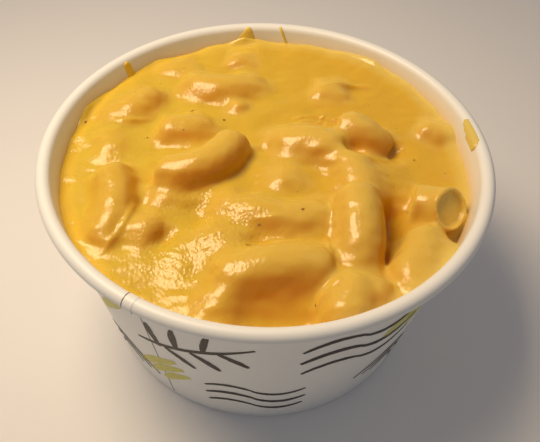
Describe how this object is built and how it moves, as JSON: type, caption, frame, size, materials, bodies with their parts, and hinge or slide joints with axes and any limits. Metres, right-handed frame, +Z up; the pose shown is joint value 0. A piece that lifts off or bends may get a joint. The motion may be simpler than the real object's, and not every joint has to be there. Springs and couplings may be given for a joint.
{
  "type": "mac and cheese in a paper tub",
  "caption": "Round white paper tub with a rolled lip, filled almost to the top with elbow macaroni in thick yellow cheese sauce.",
  "frame": {"origin": "centre of the tub's foot, on the surface it stands on", "axes": "+Z up along the tub's axis, -Y towards the side that faces the viewer, +X to the viewer's right"},
  "size_m": [0.096, 0.096, 0.05],
  "materials": {
    "tub_paper": "coated white paper with a slight gloss",
    "base_paper": "uncoated white paper",
    "cheese_sauce": "wet, glossy, slightly translucent cheese sauce"
  },
  "bodies": {
    "root": {"cup_wall": "tub_paper", "cup_base": "base_paper", "macaroni_in_sauce": "cheese_sauce"}
  },
  "joints": []
}
